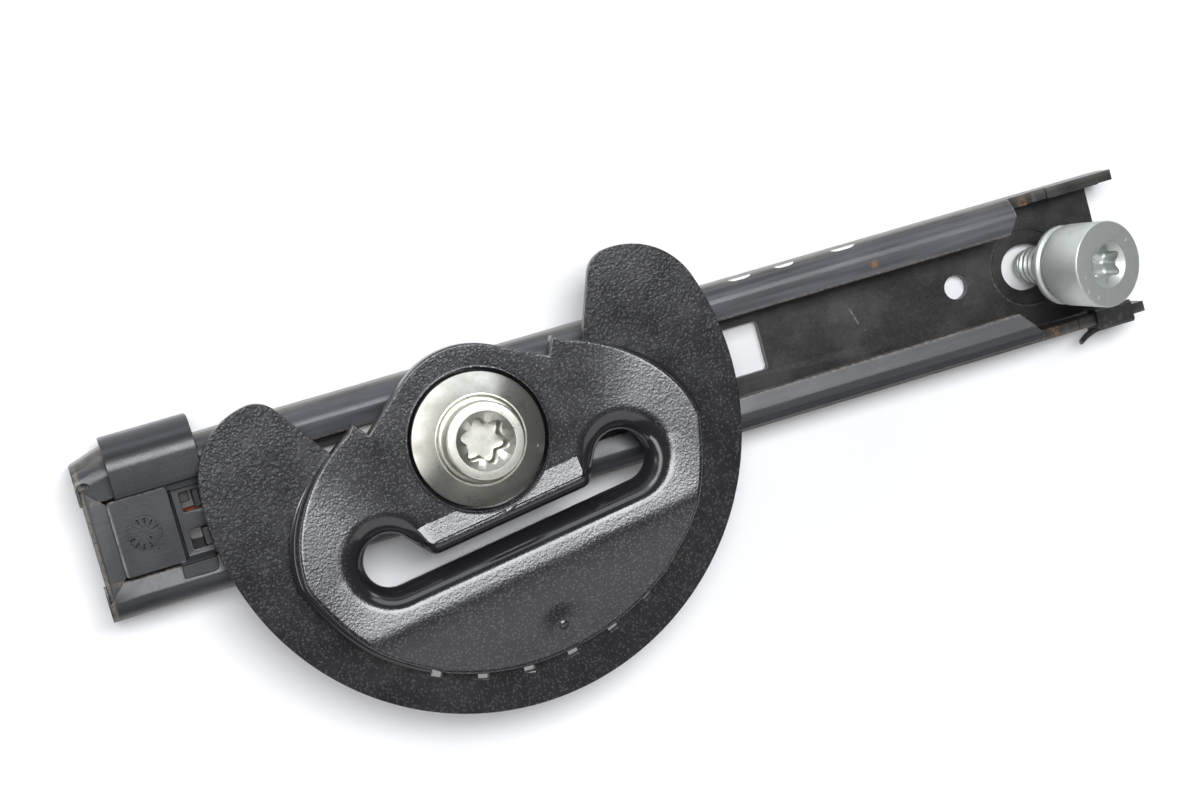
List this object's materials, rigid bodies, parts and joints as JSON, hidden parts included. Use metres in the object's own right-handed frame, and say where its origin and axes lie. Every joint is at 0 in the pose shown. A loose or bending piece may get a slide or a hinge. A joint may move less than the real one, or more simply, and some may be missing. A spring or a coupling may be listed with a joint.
{
  "type": "seat belt height adjuster",
  "caption": "Pressed steel rail with a sliding, lockable carriage that carries a swivelling slotted belt guide and crescent shield; mounting bolt at one end.",
  "frame": {"origin": "on the rail's flat back face, on the land between the last lock window and the locating hole, on the rail's centre line", "axes": "+X along the rail towards the mounting bolt, +Z out of the rail's back face towards the belt guide, +Y towards the clipped side of the end cap"},
  "size_m": [0.2025, 0.0753, 0.0279],
  "materials": {
    "coated_steel": "dark satin coating over pressed steel, rust on cut edges",
    "cap_plastic": "smooth dark grey moulding",
    "orange_rubber": "orange buffer",
    "phosphated_steel": "dark phosphate coating",
    "slide_plastic": "pale sliding plastic",
    "bright_steel": "bright ground steel",
    "spring_steel": "dark spring steel",
    "zinc": "bright zinc plate, turned",
    "dull_zinc": "dull grey zinc plate",
    "bush_plastic": "natural bearing plastic",
    "guide_plastic": "fine leather grain, satin",
    "shield_plastic": "fine grain, black",
    "keeper_plastic": "torn thin black plastic"
  },
  "bodies": {
    "rail": {"rail": "coated_steel", "end_cap": "cap_plastic", "end_buffer": "orange_rubber", "mount_bolt": "dull_zinc", "mount_washer": "dull_zinc", "bolt_keeper": "keeper_plastic"},
    "carriage": {"carriage_plate": "phosphated_steel", "slide_shoe_lower": "slide_plastic", "slide_shoe_upper": "slide_plastic", "spring_bridge": "phosphated_steel", "lock_spring": "spring_steel", "lever_pin": "bright_steel", "pivot_nut": "phosphated_steel", "spacer_washer": "bright_steel", "pivot_bush": "bush_plastic", "wave_washer": "spring_steel", "pivot_bolt": "zinc"},
    "guide": {"belt_guide": "guide_plastic", "guide_shield": "shield_plastic"},
    "lock": {"lock_pin": "bright_steel"},
    "lever": {"release_lever": "phosphated_steel"}
  },
  "joints": [
    {"name": "carriage_slide", "type": "slide", "parent": "rail", "child": "carriage", "axis": [1, 0, 0], "range_m": [-0.013, 0.039]},
    {"name": "guide_swivel", "type": "hinge", "parent": "carriage", "child": "guide", "pos_m": [-0.08, 0, 0.0172], "axis": [0, 0, 1], "continuous": true},
    {"name": "lever_hinge", "type": "hinge", "parent": "carriage", "child": "lever", "pos_m": [-0.053, 0, 0.0097], "axis": [0, 1, 0], "range_deg": [-9.6, 0]},
    {"name": "lock_slide", "type": "slide", "parent": "carriage", "child": "lock", "axis": [0, 0, 1], "range_m": [-0.00171, 0], "deforming": ["lock_spring"]}
  ],
  "couplings": [
    {"joint": "lever_hinge", "follows": "lock_slide", "rad_per_m": 97.983}
  ]
}
